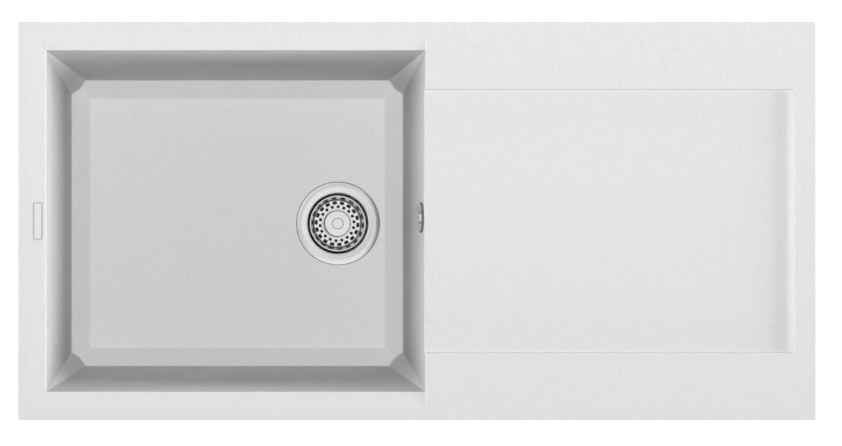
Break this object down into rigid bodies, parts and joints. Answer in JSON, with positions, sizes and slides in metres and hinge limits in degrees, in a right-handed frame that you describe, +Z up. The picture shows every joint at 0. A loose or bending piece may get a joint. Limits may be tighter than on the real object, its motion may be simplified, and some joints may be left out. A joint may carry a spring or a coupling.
{
  "type": "kitchen sink",
  "caption": "Inset composite kitchen sink: one deep rectangular bowl with strainer basket and overflow, a plain recessed drainer beside it, and clamps under the rim.",
  "frame": {"origin": "centre of the rim's outline, level with the worktop that the rim stands on", "axes": "+X along the sink from bowl to drainer, +Y to the back, +Z up"},
  "size_m": [1, 0.5, 0.304],
  "materials": {
    "composite": "matt, fine stone grain",
    "badge": "smooth satin",
    "foam": "closed-cell foam",
    "satin_steel": "satin, turned",
    "polished_steel": "polished",
    "chrome": "polished",
    "zinc_steel": "zinc plated",
    "brass": "turned",
    "black_rubber": "moulded",
    "pale_plastic": "moulded",
    "hose_plastic": "moulded, ribbed",
    "black_plastic": "moulded"
  },
  "bodies": {
    "sink": {"sink_moulding": "composite", "blank_badge": "badge", "rim_seal": "foam", "waste_flange": "satin_steel", "flange_gasket": "black_rubber", "lower_gasket": "black_rubber", "waste_body": "pale_plastic", "waste_screw": "polished_steel", "waste_nut": "brass", "overflow_rosette": "chrome", "overflow_screws": "polished_steel", "overflow_gasket": "black_rubber", "overflow_housing": "pale_plastic", "overflow_hose": "hose_plastic", "union_nut_upper": "black_plastic", "union_nut_lower": "black_plastic", "union_washer_upper": "black_rubber", "union_washer_lower": "black_rubber", "clamp_inserts": "brass"},
    "basket": {"basket_cup": "polished_steel", "basket_stem": "black_plastic", "basket_seal": "black_rubber", "basket_knob": "polished_steel", "knob_cap": "polished_steel"},
    "clamp_screw_1": {"clamp_screw_1": "zinc_steel"},
    "clamp_claw_1": {"clamp_claw_1": "zinc_steel"},
    "clamp_screw_2": {"clamp_screw_2": "zinc_steel"},
    "clamp_claw_2": {"clamp_claw_2": "zinc_steel"},
    "clamp_screw_3": {"clamp_screw_3": "zinc_steel"},
    "clamp_claw_3": {"clamp_claw_3": "zinc_steel"},
    "clamp_screw_4": {"clamp_screw_4": "zinc_steel"},
    "clamp_claw_4": {"clamp_claw_4": "zinc_steel"},
    "clamp_screw_5": {"clamp_screw_5": "zinc_steel"},
    "clamp_claw_5": {"clamp_claw_5": "zinc_steel"},
    "clamp_screw_6": {"clamp_screw_6": "zinc_steel"},
    "clamp_claw_6": {"clamp_claw_6": "zinc_steel"},
    "clamp_screw_7": {"clamp_screw_7": "zinc_steel"},
    "clamp_claw_7": {"clamp_claw_7": "zinc_steel"},
    "clamp_screw_8": {"clamp_screw_8": "zinc_steel"},
    "clamp_claw_8": {"clamp_claw_8": "zinc_steel"}
  },
  "joints": [
    {"name": "basket_lift", "type": "slide", "parent": "sink", "child": "basket", "axis": [0, 0, 1], "range_m": [0, 0.25]},
    {"name": "clamp_screw_1_travel", "type": "slide", "parent": "sink", "child": "clamp_screw_1", "axis": [0, 0, 1], "range_m": [0, 0.012]},
    {"name": "clamp_claw_1_swing", "type": "hinge", "parent": "clamp_screw_1", "child": "clamp_claw_1", "pos_m": [-0.37, 0.2305, -0.05], "axis": [0, 0, 1], "range_deg": [0, 90]},
    {"name": "clamp_screw_2_travel", "type": "slide", "parent": "sink", "child": "clamp_screw_2", "axis": [0, 0, 1], "range_m": [0, 0.012]},
    {"name": "clamp_claw_2_swing", "type": "hinge", "parent": "clamp_screw_2", "child": "clamp_claw_2", "pos_m": [0, 0.2305, -0.05], "axis": [0, 0, 1], "range_deg": [0, 90]},
    {"name": "clamp_screw_3_travel", "type": "slide", "parent": "sink", "child": "clamp_screw_3", "axis": [0, 0, 1], "range_m": [0, 0.012]},
    {"name": "clamp_claw_3_swing", "type": "hinge", "parent": "clamp_screw_3", "child": "clamp_claw_3", "pos_m": [0.37, 0.2305, -0.05], "axis": [0, 0, 1], "range_deg": [0, 90]},
    {"name": "clamp_screw_4_travel", "type": "slide", "parent": "sink", "child": "clamp_screw_4", "axis": [0, 0, 1], "range_m": [0, 0.012]},
    {"name": "clamp_claw_4_swing", "type": "hinge", "parent": "clamp_screw_4", "child": "clamp_claw_4", "pos_m": [-0.37, -0.2305, -0.05], "axis": [0, 0, 1], "range_deg": [0, 90]},
    {"name": "clamp_screw_5_travel", "type": "slide", "parent": "sink", "child": "clamp_screw_5", "axis": [0, 0, 1], "range_m": [0, 0.012]},
    {"name": "clamp_claw_5_swing", "type": "hinge", "parent": "clamp_screw_5", "child": "clamp_claw_5", "pos_m": [0, -0.2305, -0.05], "axis": [0, 0, 1], "range_deg": [0, 90]},
    {"name": "clamp_screw_6_travel", "type": "slide", "parent": "sink", "child": "clamp_screw_6", "axis": [0, 0, 1], "range_m": [0, 0.012]},
    {"name": "clamp_claw_6_swing", "type": "hinge", "parent": "clamp_screw_6", "child": "clamp_claw_6", "pos_m": [0.37, -0.2305, -0.05], "axis": [0, 0, 1], "range_deg": [0, 90]},
    {"name": "clamp_screw_7_travel", "type": "slide", "parent": "sink", "child": "clamp_screw_7", "axis": [0, 0, 1], "range_m": [0, 0.012]},
    {"name": "clamp_claw_7_swing", "type": "hinge", "parent": "clamp_screw_7", "child": "clamp_claw_7", "pos_m": [-0.4805, 0, -0.05], "axis": [0, 0, 1], "range_deg": [0, 90]},
    {"name": "clamp_screw_8_travel", "type": "slide", "parent": "sink", "child": "clamp_screw_8", "axis": [0, 0, 1], "range_m": [0, 0.012]},
    {"name": "clamp_claw_8_swing", "type": "hinge", "parent": "clamp_screw_8", "child": "clamp_claw_8", "pos_m": [0.478, 0, -0.05], "axis": [0, 0, 1], "range_deg": [0, 90]}
  ]
}
